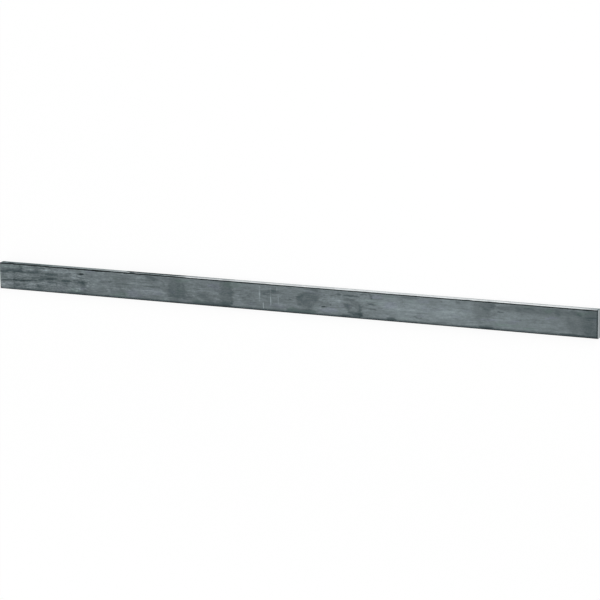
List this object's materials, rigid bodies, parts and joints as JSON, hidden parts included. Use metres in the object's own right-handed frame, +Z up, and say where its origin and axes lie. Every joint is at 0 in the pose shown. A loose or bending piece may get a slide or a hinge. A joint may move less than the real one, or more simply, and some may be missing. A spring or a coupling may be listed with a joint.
{
  "type": "metal flat bar",
  "caption": "Solid rolled steel flat bar with a rectangular section, small rounded corners and square-sawn ends, used as stock for frames, brackets and straps.",
  "frame": {"origin": "middle of the wide face that the bar lies on", "axes": "+X along the length, +Y across the width, +Z up through the thickness"},
  "size_m": [0.7, 0.03, 0.01],
  "materials": {
    "rolled_steel": "hot-rolled mill finish, dull blue-grey with darker scale stains, brighter on the narrow edges and sawn ends"
  },
  "bodies": {
    "root": {"flat_bar": "rolled_steel"}
  },
  "joints": []
}
